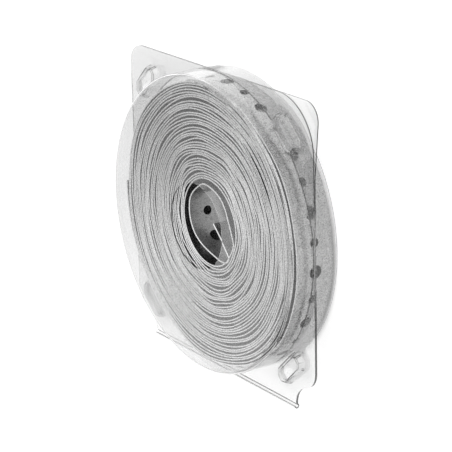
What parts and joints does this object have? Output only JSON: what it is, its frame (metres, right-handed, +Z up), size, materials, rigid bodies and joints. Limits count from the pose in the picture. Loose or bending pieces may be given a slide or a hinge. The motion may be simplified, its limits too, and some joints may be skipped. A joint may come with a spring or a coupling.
{
  "type": "coil of perforated steel strap in a clear clamshell",
  "caption": "Flat coil of galvanised perforated fixing strap with alternating small and large holes, in a clear hinged clamshell with snap buttons and a finger tab.",
  "frame": {"origin": "on the coil's axis at the floor that the back drum lies on", "axes": "+Z up along the coil's axis to the front face, +Y from the hinge to the opening edge, +X to the side with the finger tab"},
  "size_m": [0.1452, 0.1456, 0.0272],
  "materials": {
    "galvanised_steel": "zinc-coated, dull bright, lightly scuffed",
    "clear_plastic": "clear thermoformed sheet, glossy"
  },
  "bodies": {
    "back_half_with_coil": {"shell_back": "clear_plastic", "strap_coil": "galvanised_steel"},
    "front_half": {"shell_front": "clear_plastic"}
  },
  "joints": [
    {"name": "shell_hinge", "type": "hinge", "parent": "back_half_with_coil", "child": "front_half", "pos_m": [0, -0.0734, 0.0136], "axis": [1, 0, 0], "range_deg": [0, 180]}
  ]
}
